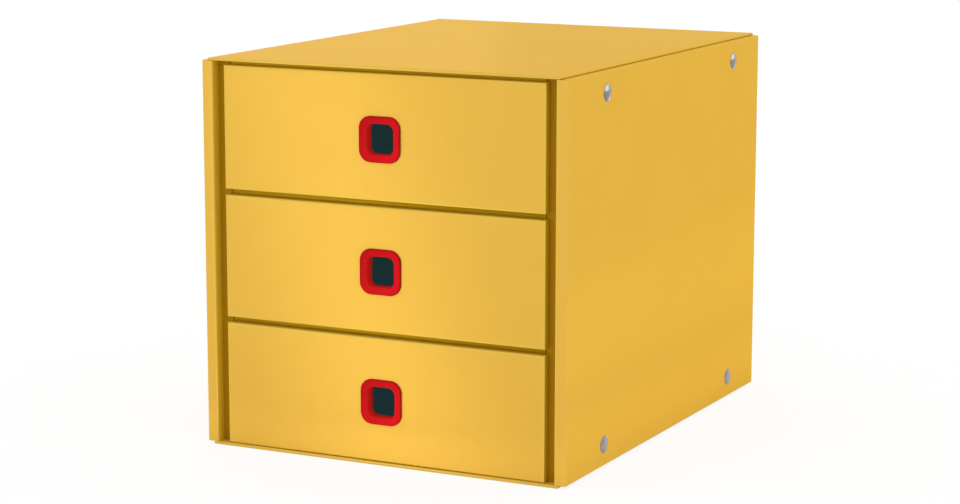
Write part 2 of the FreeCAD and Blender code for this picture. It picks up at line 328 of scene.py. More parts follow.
board = {
    "thickness": 2.0,
    "crease": 1.0,  # outside radius of a sharp fold
    "roundFold": 3.0,  # outside radius of the wrap's round folds at the back
    "flapFold": 2.0,  # outside radius where the flaps fold down
    "foldSteps": 5,
    "cutEdge": 0.18,  # how far a cut edge is softened
    "wearReach": 1.6,  # how far wear spreads from a fold or a cut edge
    "wearFade": 1.3,  # a higher power ends it more suddenly
}
lines = {  # grid lines across a sheet
    "nearEdge": (1.5, 5.0),
    "closest": 0.4,
    "widest": 45.0,
}
outerSlot, innerSlot, cutSlot, gapShadeSlot, foldSlot = range(5)  # places in a sheet's list of films
thick, crease = board["thickness"], board["crease"]


class Edge:
    def __init__(self, ids, places, out, normal):
        self.ids, self.places = ids, places  # its points, in order
        self.out, self.normal = out, normal  # away from the sheet, and off its outer side

    def part(self, axis, low, high):
        # what lies between two places along an axis
        chosen = [pair for pair in zip(self.ids, self.places) if within(low, pair[1][axis], high)]
        return Edge([pair[0] for pair in chosen], [pair[1] for pair in chosen], self.out, self.normal)


class Panel:
    def __init__(self, rows, places, out, normal):
        self.rows, self.places = rows, places  # a grid of points, row after row outwards
        self.out, self.normal = out, normal

    def edge(self, side):
        def border(grid):
            return {"far": grid[-1], "near": grid[0][::-1], "start": [row[0] for row in grid],
                    "end": [row[-1] for row in grid][::-1]}[side]

        along = self.normal.cross(self.out)
        out = {"far": self.out, "near": -self.out, "start": -along, "end": along}[side]
        return Edge(border(self.rows), border(self.places), out, self.normal)


class Sheet:
    def __init__(self):
        self.outer, self.inner = [], []  # the two sides of every point
        self.faces, self.folds = [], []

    def point(self, place, normal):
        self.outer.append(place.copy())
        self.inner.append(place - normal * thick)
        return len(self.outer) - 1

    def fill(self, rows, slot, skip=()):
        for i, (row, following) in enumerate(zip(rows, rows[1:])):
            for j in range(len(row) - 1):
                if (i, j) not in skip:
                    self.faces.append(((row[j], following[j], following[j + 1], row[j + 1]), slot))

    def panel(self, base, out, along, outStops, alongStops, skip=()):
        normal = out.cross(along)
        places = [[base + out * a + along * b for b in alongStops] for a in outStops]
        rows = [[self.point(place, normal) for place in row] for row in places]
        self.fill(rows, outerSlot, skip)
        return Panel(rows, places, out, normal)

    def run(self, edge, distances, slot=outerSlot, skip=()):
        # carries the edge straight on
        rows, places = [edge.ids], [edge.places]
        for distance in distances:
            places.append([place + edge.out * distance for place in edge.places])
            rows.append([self.point(place, edge.normal) for place in places[-1]])
        self.fill(rows, slot, skip)
        return Panel(rows, places, edge.out, edge.normal)

    def bend(self, edge, degrees, radius, slot=outerSlot):
        # positive degrees fold the sheet back from its outer side; the radius is the convex side's
        steps = board["foldSteps"]
        forward = degrees > 0
        convex, hollow = (self.outer, self.inner) if forward else (self.inner, self.outer)
        face = edge.normal if forward else -edge.normal
        turn = math.radians(abs(degrees))
        hollowRadius = radius - thick
        starts = [place if forward else place + face * thick for place in edge.places]
        rows = [edge.ids]
        for step in range(1, steps + 1):
            angle = turn * step / steps
            sweep = edge.out * math.sin(angle) - face * (1 - math.cos(angle))
            row = []
            for start in starts:
                number = self.point(start, edge.normal)
                convex[number] = start + sweep * radius
                hollow[number] = start - face * thick + sweep * max(hollowRadius, 0)
                row.append(number)
            rows.append(row)
        if hollowRadius < 0:  # a sharp inner corner, shared by the whole fold
            corner = edge.out * (hollowRadius * math.tan(turn / 2)) - face * thick
            for row in rows:
                for number, start in zip(row, starts):
                    hollow[number] = start + corner
        self.fill(rows, slot)
        middle = rows[steps // 2]
        self.folds.append((convex[middle[0]].copy(), convex[middle[-1]].copy()))
        newOut = edge.out * math.cos(turn) - face * math.sin(turn)
        newFace = face * math.cos(turn) + edge.out * math.sin(turn)
        ends = [convex[number] for number in rows[-1]]
        if not forward:
            ends = [end - newFace * thick for end in ends]
        return Edge(rows[-1], ends, newOut, newFace if forward else -newFace)

    def roundHole(self, panel, centre):
        # pulls the edge of a square opening onto a square with round corners
        half, corner = drawer["holeHalf"], drawer["holeCorner"]
        straight = half - corner
        for row, places in zip(panel.rows, panel.places):
            for number, place in zip(row, places):
                offset = place - centre
                atEdge = abs(max(abs(offset.x), abs(offset.z)) - half) <= hair
                if not atEdge or abs(offset.x) <= straight or abs(offset.z) <= straight:
                    continue
                flat = Vector((offset.x, 0, offset.z))
                middle = Vector((math.copysign(straight, flat.x), 0, math.copysign(straight, flat.z)))
                shift = middle + (flat - middle).normalized() * corner - flat
                self.outer[number] += shift
                self.inner[number] += shift

    def build(self, name, films, flip=1):
        # a flip of -1 mirrors the sheet
        bm = bmesh.new()
        known = {}

        def vertex(side, place):
            key = (side,) + tuple(round(part, 4) for part in place)
            if key not in known:
                known[key] = bm.verts.new((place.x * flip * mm, place.y * mm, place.z * mm))
            return known[key]

        outer = [vertex("outer", place) for place in self.outer]
        inner = [vertex("inner", place) for place in self.inner]

        def face(corners, slot):
            corners = list(dict.fromkeys(corners))
            if len(corners) > 2:
                bm.faces.new(corners[::flip]).material_index = slot

        steps = set()
        for ids, slot in self.faces:
            face([outer[number] for number in ids], slot)
            face([inner[number] for number in ids[::-1]], innerSlot)
            steps.update(zip(ids, ids[1:] + ids[:1]))
        rims = [(a, b) for a, b in steps if (b, a) not in steps]
        for a, b in rims:
            face([outer[b], outer[a], inner[a], inner[b]], cutSlot)
        pairs = [(side[a], side[b]) for a, b in rims for side in (outer, inner) if side[a] is not side[b]]
        cuts = [edge for edge in dict.fromkeys(bm.edges.get(pair) for pair in pairs) if edge]
        bmesh.ops.delete(bm, geom=[v for v in bm.verts if not v.link_faces], context="VERTS")
        low = [min(v.co[axis] for v in bm.verts) for axis in range(3)]
        high = [max(v.co[axis] for v in bm.verts) for axis in range(3)]
        bmesh.ops.bevel(bm, geom=cuts, offset=board["cutEdge"] * mm, offset_type="OFFSET", segments=2,
                        profile=0.5, affect="EDGES", clamp_overlap=True, material=-1)
        for v in bm.verts:  # a bevel in a notch may stand out a little
            v.co = Vector(min(max(v.co[axis], low[axis]), high[axis]) for axis in range(3))
        edges = self.folds + [(self.outer[a], self.outer[b]) for a, b in rims]
        return plainObject(name, bm, films, wear=wearFrom(edges, flip))


def wearFrom(edges, flip):
    # how worn a point is, from how far it lies from the nearest fold or cut edge
    starts = np.array([edge[0] for edge in edges]) * (flip, 1, 1)
    spans = np.array([edge[1] for edge in edges]) * (flip, 1, 1) - starts
    lengths = np.maximum((spans ** 2).sum(1), 1e-9)  # an edge may have no length

    def wear(points):
        away = points[:, None, :] - starts[None]
        share = np.clip((away * spans).sum(2) / lengths, 0, 1)
        distance = np.linalg.norm(away - share[..., None] * spans, axis=2).min(1)
        return np.exp(-((distance / board["wearReach"]) ** board["wearFade"]))

    return wear


def newObject(name, data):
    thing = bpy.data.objects.new(name, data)
    bpy.context.scene.collection.objects.link(thing)
    return thing


def plainObject(name, bm, materials, **marks):
    # a finished mesh at the origin, with face-weighted normals and its marks in attributes
    mesh = bpy.data.meshes.new(name)
    bm.to_mesh(mesh)
    bm.free()
    for material in materials:
        mesh.materials.append(material)
    mesh.shade_smooth()
    mesh.set_sharp_from_angle(angle=math.radians(smoothAngle))  # steeper edges stay sharp
    piece = newObject(name, mesh)
    piece.modifiers.new("weighted", "WEIGHTED_NORMAL").keep_sharp = True
    settleModifiers(piece)
    points = np.empty(len(piece.data.vertices) * 3)
    piece.data.vertices.foreach_get("co", points)
    for mark, amount in marks.items():
        values = amount(points.reshape(-1, 3) / mm).astype(np.float32)
        piece.data.attributes.new(mark, "FLOAT", "POINT").data.foreach_set("value", values)
    return piece


def settleModifiers(piece):
    # turns what the modifiers make into the piece's own plain mesh
    bpy.context.view_layer.update()
    evaluated = piece.evaluated_get(bpy.context.evaluated_depsgraph_get())
    mesh = bpy.data.meshes.new_from_object(evaluated)
    piece.modifiers.clear()
    piece.data = mesh
    mesh.name = piece.name


def standFor(piece, body, node):
    # the piece takes the solid's place and rides on its body
    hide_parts(node)
    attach(piece, body)


def stops(low, high, extra=()):
    # grid lines: close together near the ends, wide apart between, and through every extra value
    values = [value for value in {low, high, *extra} if low <= value <= high]
    for value in sorted(end for step in lines["nearEdge"] for end in (low + step, high - step)):
        if low <= value <= high and all(abs(value - other) >= lines["closest"] for other in values):
            values.append(value)
    values.sort()
    full = [values[0]]
    for before, after in zip(values, values[1:]):
        parts = math.ceil((after - before) / lines["widest"])
        full += [before + (after - before) * part / parts for part in range(1, parts + 1)]
    return full


def reaches(length, extra=()):
    # distances for a run of this length, with lines near its far end
    return [value for value in stops(0.0, length, extra) if value > 0]


def cells(rows, columns, rowSpans, columnSpans):
    # cells of a grid that lie in one of the row spans and in one of the column spans
    def inside(values, spans):
        return [k for k, pair in enumerate(zip(values, values[1:]))
                if any(all(within(low, value, high) for value in pair) for low, high in spans)]

    return {(row, column) for row in inside(rows, rowSpans) for column in inside(columns, columnSpans)}


# Cabinet

cabinet = {
    "strip": 8.5,  # folded strip at the front of a side panel
    "stepDepth": 8.1,  # from the front edge back to the step beside the drawers
    "turnedEdge": 0.3,  # outside radius of the side panels' turned edges
    "lipGap": 0.05,  # between a panel's turned back edge and the sheet above it
    "flapReach": 36.0,  # top and bottom flaps, down into the side panels
    "backFlapReach": 32.0,
    "flapShows": 70.0,  # degrees of a flap's fold in the outside film; the rest is painted shade for the seam
    "flapSpacing": 4.0,
    "flapStandoff": 0.15,  # how much farther out the flaps are than the sheet between them
    "flapStep": 1.0,  # length over which the sheet goes out to there
    "fit": 0.3,
    "shelfFit": 0.08,
    "tabLength": 40.0,
    "tabFromMiddle": 90.0,
}
wrapLow, wrapHigh = boxOf("cabinet_wrap")
panelLow, panelHigh = boxOf("side_panel_right")
shelfNodes = ("shelf_lower", "shelf_upper", "top_liner")
shelfBoxes = [boxOf(node) for node in shelfNodes]
tabSpans = [(middle - cabinet["tabLength"] / 2, middle + cabinet["tabLength"] / 2)
            for middle in (-cabinet["tabFromMiddle"], cabinet["tabFromMiddle"])]


def makeWrap(films):
    fold, flapFold, step = board["roundFold"], board["flapFold"], cabinet["flapStep"]
    flat = wrapHigh.x - flapFold
    front, back, top = wrapLow.y, wrapHigh.y, wrapHigh.z
    flapStart = front + thick + cabinet["fit"]
    flapEnd = back - fold - cabinet["flapSpacing"]
    backLow = cabinet["flapReach"] + cabinet["flapSpacing"]
    backHigh = top - backLow
    sheet = Sheet()
    places = (flapStart, flapEnd, flapEnd + step)
    upper = sheet.panel(up * top, right, deep, stops(-flat, flat), stops(front, back - fold, places))
    edge = sheet.bend(upper.edge("end"), 90, fold)
    drops = [top - fold - level for level in (backHigh + step, backHigh, backLow, backLow - step)]
    rear = sheet.run(edge, reaches(top - 2 * fold, drops))
    edge = sheet.bend(rear.edge("far"), 90, fold)
    lower = sheet.run(edge, reaches(back - fold - front, [back - fold - place for place in places]))
    sides = [upper.edge("near"), upper.edge("far"), lower.edge("start"), lower.edge("end")]
    flaps = [(edge, (1, front, flapEnd), (1, flapStart, flapEnd), cabinet["flapReach"]) for edge in sides]
    span = (2, backLow, backHigh)
    flaps += [(rear.edge(side), span, span, cabinet["backFlapReach"]) for side in ("start", "end")]
    for edge, folded, inReach, reach in flaps:
        edge = sheet.bend(edge.part(*folded), cabinet["flapShows"], flapFold)
        # past flapShows the fold and the flap are in the dark film: painted shade in the seam beside the
        # side panels
        edge = sheet.bend(edge.part(*inReach), 90 - cabinet["flapShows"], flapFold, gapShadeSlot)
        sheet.run(edge, reaches(reach - flapFold), gapShadeSlot)
    # between the flaps the sheet reaches out nearly as far as they do
    clear = step - hair
    for outer, inner in zip(sheet.outer, sheet.inner):
        betweenFlaps = outer.y > flapEnd + clear and not backLow - clear < outer.z < backHigh + clear
        if betweenFlaps and abs(abs(outer.x) - flat) < hair:
            shift = right * math.copysign(flapFold - cabinet["flapStandoff"], outer.x)
            outer += shift
            inner += shift
    return sheet.build("cabinetWrap", films)


def makeSidePanel(name, films, flip):
    low, high = panelLow, panelHigh
    fit, turned = cabinet["fit"], cabinet["turnedEdge"]
    notches = [(top.z - thick - fit, min(top.z + fit, high.z)) for _, top in shelfBoxes]
    levels = [high.z - thick - cabinet["lipGap"]] + [level for notch in notches for level in notch]
    levels = stops(low.z, high.z - turned, levels)
    sheet = Sheet()
    skin = sheet.panel(right * high.x, deep, up, stops(low.y + crease, high.y - turned), levels)
    # its top and back edges turn in as far as the wrap
    for side, highest in (("end", high.z), ("far", high.z - thick)):
        edge = sheet.bend(skin.edge(side).part(2, low.z, highest), 90, turned)
        sheet.run(edge, [high.x - turned - wrapHigh.x - fit])
    edge = sheet.bend(skin.edge("near"), 90, crease)
    strip = sheet.run(edge, reaches(cabinet["strip"] - 2 * crease))
    edge = sheet.bend(strip.edge("far"), 90, crease)
    # the returned wall beside the drawers, and the step and inner skin after it, are in darker films:
    # painted shade
    returned = sheet.run(edge, reaches(cabinet["stepDepth"] + thick - 2 * crease), gapShadeSlot)
    edge = sheet.bend(returned.edge("far"), -90, crease, innerSlot)
    width = high.x - low.x
    step = sheet.run(edge, reaches(width - cabinet["strip"] - crease + thick - crease), innerSlot)
    edge = sheet.bend(step.edge("far"), 90, crease, innerSlot)
    # the inner skin runs back, with a notch for each shelf tab
    start = edge.places[0].y
    tabs = [(near - start - fit, far - start + fit) for near, far in tabSpans]
    distances = reaches(shelfBoxes[0][1].y - start, [value for tab in tabs for value in tab])
    heights = [point.z for point in edge.places]
    sheet.run(edge, distances, innerSlot, cells([0.0] + distances, heights, tabs, notches))
    return sheet.build(name, films, flip)


def makeShelf(name, shelfBox, film):
    low, high = shelfBox
    half = panelLow.x - cabinet["shelfFit"]
    ends = [value for span in tabSpans for value in span]
    sheet = Sheet()
    flat = sheet.panel(up * high.z, right, deep, stops(-half, half), stops(low.y + crease, high.y, ends))
    edge = sheet.bend(flat.edge("start"), 90, crease)
    sheet.run(edge, reaches(high.z - low.z - crease))
    for side in ("near", "far"):
        for near, far in tabSpans:
            sheet.run(flat.edge(side).part(1, near, far), [high.x - half])
    return sheet.build(name, [film] * 3)


# Drawers

drawer = {
    "studGap": 2.5,  # between a side wall and the corner flap inside it
    "cornerFlap": 34.0,
    "fit": 0.3,
    "coverLine": 2.4,  # first line on the cover's sides, just behind its board
    "coverWear": 0.3,  # how far its wear lies inside its edges
    "ringHeight": 43.0,  # ring's middle above the lower edge
    "holeHalf": 12.35,
    "holeCorner": 6.65,
    "holeAngles": (0, 15, 30, 45),
}
ring = {
    "hole": 11.0,  # half the hole's side
    "holeCorner": 5.3,
    "outerCorner": 8.7,
    "wall": 1.2,
    "edge": 0.65,  # rounding of the flange, in so many steps
    "edgeSteps": 5,
    "chamfer": 0.2,  # at the inner end of the sleeve
    "cornerPoints": 9,
    "rimShadeFade": 0.5,  # how far the painted shade at the rim reaches over the face
    "wearReach": 0.8,
    "wearDepth": 1.0,
    "sleeveSkin": 0.3,  # depth of the sleeve's outer face, where the painted light in the hole ends
    "shadeAcross": 0.35,  # how the painted shade changes across and down the ring
    "shadeDown": 0.25,
}
clip = {"soft": 0.25}  # bevel of its edges


def holeLines(centre):
    # grid lines that let a square opening become round at its corners, and two more round it
    half, corner = drawer["holeHalf"], drawer["holeCorner"]
    reach = [half - corner + corner * math.tan(math.radians(angle)) for angle in drawer["holeAngles"]]
    reach += [half + step for step in lines["nearEdge"]]
    return [centre - value for value in reach[::-1]] + [centre] + [centre + value for value in reach]


def holeCells(rows, columns, centre):
    # cells of the grid that lie in the opening
    half = drawer["holeHalf"]
    return cells(rows, columns, *([(middle - half, middle + half)] for middle in centre))


def drawerBox(bay, piece):
    return boxOf("drawer_" + bay.lower() + "_" + piece)


def makeTray(bay, films):
    low, high = drawerBox(bay, "tray")
    half = high.x
    wall = half - thick - drawer["studGap"] - crease
    centre = Vector((0, low.y, low.z + drawer["ringHeight"]))
    acrossStops = stops(-half + crease, half - crease, [-wall, wall] + holeLines(0.0))
    sheet = Sheet()
    floor = sheet.panel(up * low.z, deep, right, stops(low.y + crease, high.y - crease), acrossStops)
    rise = high.z - low.z - crease
    for side in ("start", "end"):
        edge = sheet.bend(floor.edge(side), 90, crease)
        sheet.run(edge, reaches(rise))
    flapFloor = thick + drawer["fit"] - crease
    lift = low.z + crease
    for side in ("near", "far"):
        atFront = side == "near"
        edge = sheet.bend(floor.edge(side).part(0, -wall, wall), 90, crease)
        around = [value - lift for value in holeLines(centre.z)] if atFront else []
        distances = reaches(rise, [flapFloor] + around)
        heights = [lift] + [lift + distance for distance in distances]
        across = [point.x for point in edge.places]
        hole = holeCells(heights, across, (centre.z, 0.0)) if atFront else ()
        end = sheet.run(edge, distances, outerSlot, hole)
        if atFront:
            sheet.roundHole(end, centre)
        for corner in ("start", "end"):
            flap = end.edge(corner).part(2, lift + flapFloor, high.z)
            sheet.run(sheet.bend(flap, 90, crease), reaches(drawer["cornerFlap"] - crease))
    return sheet.build("drawer" + bay + "Tray", films)


def makeFront(bay, films):
    folds = board["foldSteps"]
    low, high = drawerBox(bay, "front")
    trayLow = drawerBox(bay, "tray")[0]
    centre = Vector((0, low.y, low.z + drawer["ringHeight"]))
    across = stops(low.x + crease, high.x - crease, holeLines(0.0))
    heights = stops(low.z + crease, high.z - crease, holeLines(centre.z))
    sheet = Sheet()
    hole = holeCells(across, heights, (0.0, centre.z))
    face = sheet.panel(deep * low.y, right, up, across, heights, hole)
    sheet.roundHole(face, centre)
    # all four sides fold back together, so their corners meet
    loop = [row[0] for row in face.rows]
    loop += face.rows[-1][1:] + [row[-1] for row in face.rows[:-1]][::-1] + face.rows[0][1:-1][::-1]
    corners = [sheet.outer[number].copy() for number in loop]

    def outward(value, values):
        return (value > values[-1] - hair) - (value < values[0] + hair)

    ways = [Vector((outward(point.x, across), 0, outward(point.z, heights))) for point in corners]
    for number, point, way in zip(loop, corners, ways):
        sheet.inner[number] = point + way * (crease - thick) + deep * thick
    rows = [loop]
    turns = [math.radians(90 * k / folds) for k in range(1, folds + 1)]
    depths = [(crease * math.sin(turn), crease * (1 - math.cos(turn))) for turn in turns]
    seat = trayLow.y - low.y
    depths += [(crease, depth) for depth in (drawer["coverLine"], seat, high.y - low.y)]
    for out, depth in depths:
        row = []
        for point, way in zip(corners, ways):
            number = sheet.point(point + way * out + deep * depth, deep)
            sheet.inner[number] = point + way * (crease - thick) + deep * max(depth, thick)
            row.append(number)
        rows.append(row)
    last = len(rows) - 2
    for i, (row, following) in enumerate(zip(rows, rows[1:])):
        for j in range(len(row)):
            k = (j + 1) % len(row)
            atBottom = all(ways[n].z < 0 for n in (j, k))
            atTop = all(ways[n].z > 0 for n in (j, k))
            clear = all(abs(corners[n].x) < high.x - crease - hair for n in (j, k))
            if i == last and atBottom and clear:  # the tray's floor is there
                continue
            # the folds and the top side take the lighter crease film, partly painted light in the slit
            # above; the other sides are in painted shade
            slot = foldSlot if i < folds or atTop else gapShadeSlot
            sheet.faces.append(((row[j], following[j], following[k], row[k]), slot))
    inset = drawer["coverWear"]
    ends = [Vector((x, low.y + inset, z)) for x in (low.x + inset, high.x - inset)
            for z in (low.z + inset, high.z - inset)]
    sheet.folds += [(ends[a], ends[b]) for a, b in ((0, 1), (2, 3), (0, 2), (1, 3))]
    return sheet.build("drawer" + bay + "Front", films)


def squareLoop(half, corner):
    # a square with round corners, as points round the middle
    last = ring["cornerPoints"] - 1
    angles = [math.radians(90) * k / last for k in range(last + 1)]
    straight = half - corner
    quarter = [(straight + corner * math.cos(a), straight + corner * math.sin(a)) for a in angles]
    points = []
    for _ in range(4):
        points += quarter
        quarter = [(-z, x) for x, z in quarter]
    return points


def squareLoft(name, section, centre, material, **marks):
    # a closed band: the section's (half side, corner radius, depth) loops joined all the way round
    bm = bmesh.new()
    loops = []
    for half, corner, depth in section:
        places = [Vector((x, depth, centre + z)) * mm for x, z in squareLoop(half, corner)]
        loops.append([bm.verts.new(place) for place in places])
    for loop, following in zip(loops, loops[1:] + loops[:1]):
        for k in range(len(loop)):
            j = (k + 1) % len(loop)
            bm.faces.new((loop[k], loop[j], following[j], following[k]))
    bmesh.ops.recalc_face_normals(bm, faces=bm.faces)
    return plainObject(name, bm, [material], **marks)


def arcRows(half, corner, depth, radius, start, end):
    # a rounded edge: its centre is at half and depth, and the corner radius follows
    rows = []
    for k in range(ring["edgeSteps"] + 1):
        angle = math.radians(start + (end - start) * k / ring["edgeSteps"])
        shift = radius * math.cos(angle)
        rows.append((half + shift, corner + shift, depth + radius * math.sin(angle)))
    return rows


def makeRing(bay, material):
    low, high = drawerBox(bay, "ring")
    cover = drawerBox(bay, "front")[0].y
    centre = (low.z + high.z) / 2
    half = (high.x - low.x) / 2
    edge, hole, holeCorner, cut = ring["edge"], ring["hole"], ring["holeCorner"], ring["chamfer"]
    sleeve, sleeveCorner = hole + ring["wall"], holeCorner + ring["wall"]
    outerCorner = ring["outerCorner"]
    border = edge + ring["rimShadeFade"]
    section = [(half, outerCorner, cover)]
    section += arcRows(half - edge, outerCorner - edge, low.y + edge, edge, 0, -90)
    section += [(half - border, outerCorner - border, low.y)]
    section += arcRows(hole + edge, holeCorner + edge, low.y + edge, edge, -90, -180)
    section += [(hole, holeCorner, cover), (hole, holeCorner, high.y - cut)]
    section += [(hole + cut, holeCorner + cut, high.y), (sleeve - cut, sleeveCorner - cut, high.y)]
    section += [(sleeve, sleeveCorner, high.y - cut), (sleeve, sleeveCorner, cover)]

    def inward(points, side, corner):
        # how far points lie inside a square with round corners
        x, z = np.abs(points[:, 0]), np.abs(points[:, 2] - centre)
        atCorner = corner - np.hypot(np.maximum(x - side + corner, 0), np.maximum(z - side + corner, 0))
        return np.minimum(atCorner, side - np.maximum(x, z))

    def wear(points):
        fromRim = inward(points, half, outerCorner) / ring["wearReach"]
        fromHole = inward(points, hole, holeCorner) / ring["wearReach"]
        atFront = points[:, 1] < low.y + ring["wearDepth"]
        return np.clip((np.exp(-fromRim ** 2) + np.exp(-fromHole ** 2)) * atFront, 0, 1)

    # painted shade: darker towards the flange's outer edge
    def rim(points):
        return np.clip(1 - inward(points, half, outerCorner) / border, 0, 1)

    # painted light: the hole's inner wall, past the flange
    def throatLight(points):
        inSleeve = inward(points, sleeve, sleeveCorner) > ring["sleeveSkin"]
        return np.clip((points[:, 1] - low.y) / edge, 0, 1) * inSleeve

    def flowAndShade(points):
        # painted shade and light: the face is a little darker up and to the left and lighter down and to
        # the right
        across, rise = points[:, 0], points[:, 2] - centre
        return np.clip(0.5 + (across * ring["shadeAcross"] - rise * ring["shadeDown"]) / half, 0, 1)

    marks = {"wear": wear, "rim": rim, "throatLight": throatLight, "flowAndShade": flowAndShade}
    return squareLoft("drawer" + bay + "Ring", section, centre, material, **marks)


def makeClip(bay, material):
    low, high = drawerBox(bay, "ring_clip")
    centre = (low.z + high.z) / 2
    half = (high.x - low.x) / 2
    hole, corner, soft = drawer["holeHalf"], drawer["holeCorner"], clip["soft"]
    outerCorner = corner + half - hole
    section = [(half, outerCorner, low.y), (half, outerCorner, high.y - soft)]
    section += [(half - soft, outerCorner - soft, high.y), (hole + soft, corner + soft, high.y)]
    section += [(hole, corner, high.y - soft), (hole, corner, low.y)]
    return squareLoft("drawer" + bay + "Clip", section, centre, material)


# Press studs, one tree for every cap

stud = {
    "radius": 6.25,
    "height": 1.2,
    "rim": 0.3,
    "rings": 21,  # along the cap's section
    "around": 40,
    "domeShare": 0.6,  # of the section; the flat underside is what the dome and the rim leave
    "rollShare": 0.3,
}
capInputs = {"Points": "Geometry", "Radius": "Float", "Height": "Float", "Rim": "Float",
             "Rings": "Int", "Around": "Int", "Finish": "Material"}


def capTree():
    tree = bpy.data.node_groups.new("pressStudCaps", "GeometryNodeTree")
    for name, kind in capInputs.items():
        tree.interface.new_socket(name, in_out="INPUT", socket_type="NodeSocket" + kind)
    tree.interface.new_socket("Caps", in_out="OUTPUT", socket_type="NodeSocketGeometry")
    maker = Maker(tree)
    inputs = maker.add("NodeGroupInput").outputs
    points, radius, height, rim, rings, around, finish = (Value(maker, inputs[name]) for name in capInputs)
    sizes = {"Size X": 1.0, "Size Y": 1.0, "Vertices X": rings, "Vertices Y": around + 1.0}
    grid = maker.value("GeometryNodeMeshGrid", sizes)
    alongGrid, aroundGrid, _ = maker.separate(maker.value("GeometryNodeInputPosition"))
    along = alongGrid + 0.5
    angle = (aroundGrid + 0.5) * (2 * math.pi)
    # section: the dome, the rolled rim, then the flat underside
    domeEnd, rollEnd = stud["domeShare"], stud["domeShare"] + stud["rollShare"]
    dome = (along / domeEnd).clamped()
    roll = ((along - domeEnd) / (rollEnd - domeEnd)).clamped() * math.pi
    under = ((along - rollEnd) / (1 - rollEnd)).clamped()
    rolled = rim * 0.5
    domeRadius = radius - rolled
    across = domeRadius * dome + rolled * roll.sine() - domeRadius * under
    rise = height - (height - rim) * dome * dome - rolled * (1.0 - roll.cosine())
    shaped = maker.value("CombineXYZ", {0: rise, 1: across * angle.cosine(), 2: across * angle.sine()})
    surface = maker.value("GeometryNodeSetPosition", {"Geometry": grid, "Position": shaped})
    mark = {"Geometry": surface, "Name": "across", "Value": across / radius}
    marked = maker.value("GeometryNodeStoreNamedAttribute", mark, data_type="FLOAT", domain="POINT")
    closed = maker.value("GeometryNodeMergeByDistance", {"Geometry": marked, "Distance": hair * mm})
    smooth = maker.value("GeometryNodeSetShadeSmooth", {"Geometry": closed})
    side = maker.value("GeometryNodeInputNamedAttribute", {"Name": "side"}, data_type="FLOAT")
    turned = maker.value("CombineXYZ", {2: (1.0 - side) * (math.pi / 2)})
    instances = {"Points": points, "Instance": smooth, "Rotation": turned}
    caps = maker.value("GeometryNodeInstanceOnPoints", instances)
    real = maker.value("GeometryNodeRealizeInstances", {0: caps})
    finished = maker.value("GeometryNodeSetMaterial", {"Geometry": real, "Material": finish})
    maker.add("NodeGroupOutput", {0: finished})
    return tree


def makeCaps(name, body, tree, material):
    node = body + "_stud_caps"
    low, high = boxOf(node)
    rows = [low.y + stud["radius"], high.y - stud["radius"]]
    levels = [low.z + stud["radius"], high.z - stud["radius"]]
    if levels[1] - levels[0] < stud["radius"]:  # a drawer has one level of studs
        levels = [(low.z + high.z) / 2]
    places = [(side, y, z) for side in (1, -1) for y in rows for z in levels]
    base = high.x - stud["height"]
    mesh = bpy.data.meshes.new(name)
    mesh.from_pydata([(side * base * mm, y * mm, z * mm) for side, y, z in places], [], [])
    sides = [float(side) for side, _, _ in places]
    mesh.attributes.new("side", "FLOAT", "POINT").data.foreach_set("value", sides)
    piece = newObject(name, mesh)
    modifier = piece.modifiers.new("caps", "NODES")
    modifier.node_group = tree
    values = {"Radius": stud["radius"] * mm, "Height": stud["height"] * mm, "Rim": stud["rim"] * mm,
              "Rings": stud["rings"], "Around": stud["around"], "Finish": material}
    for item in tree.interface.items_tree:
        if item.item_type == "SOCKET" and item.name in values:
            modifier[item.identifier] = values[item.name]
    settleModifiers(piece)
    for face in piece.data.polygons:
        face.material_index = 0
    piece.data.materials.clear()
    piece.data.materials.append(material)
    standFor(piece, body, node)


# Making everything

outside = boardFilm("yellowFilm", yellowFilm)
# the inner, reveal, shade and lip films are the yellow film in painted shade; the crease film is partly
# painted light
inside = boardFilm("innerShadeFilm", innerShadeFilm)
cutEdge = boardFilm("edgeFilm", edgeFilm)
creased = boardFilm("creaseAndLightFilm", creaseAndLightFilm)
reveal = boardFilm("revealShadeFilm", revealShadeFilm)
shaded = boardFilm("shadeFilm", shadeFilm)
lip = boardFilm("lipShadeFilm", lipShadeFilm)
lining = drawerLining(liningPaper)
redPlastic = ringPlastic(ringFinish)
capNickel = studNickel("capNickel", capMetal)
plainNickel = studNickel("plainNickel", plainMetal)
panelFilms = [outside, inside, cutEdge, reveal]
wrapFilms = [outside, creased, cutEdge, inside]
drawerFilms = [outside, lining, cutEdge, shaded, creased]
caps = capTree()

standFor(makeWrap(wrapFilms), "cabinet", "cabinet_wrap")
for side, flip in (("Right", 1), ("Left", -1)):
    panel = makeSidePanel("sidePanel" + side, panelFilms, flip)
    standFor(panel, "cabinet", "side_panel_" + side.lower())
# the shelves and the top liner show only in the slits between the drawers and are in painted shade
shelves = zip(("shelfLower", "shelfUpper", "topLiner"), shelfNodes, shelfBoxes, (lip, lip, shaded))
for name, node, shelfBox, film in shelves:
    standFor(makeShelf(name, shelfBox, film), "cabinet", node)
makeCaps("cabinetCaps", "cabinet", caps, capNickel)
print("cabinet made")

for bay in bays:
    body = "drawer_" + bay.lower()
    standFor(makeTray(bay, drawerFilms), body, body + "_tray")
    standFor(makeFront(bay, drawerFilms), body, body + "_front")
    standFor(makeRing(bay, redPlastic), body, body + "_ring")
    standFor(makeClip(bay, redPlastic), body, body + "_ring_clip")
    makeCaps("drawer" + bay + "Caps", body, caps, capNickel)
print("drawers made")

for node, solid in frame["nodes"].items():
    if node.endswith(("_sockets", "_nubs", "_posts")):
        for slot in solid.material_slots:
            slot.material = plainNickel

# Studio

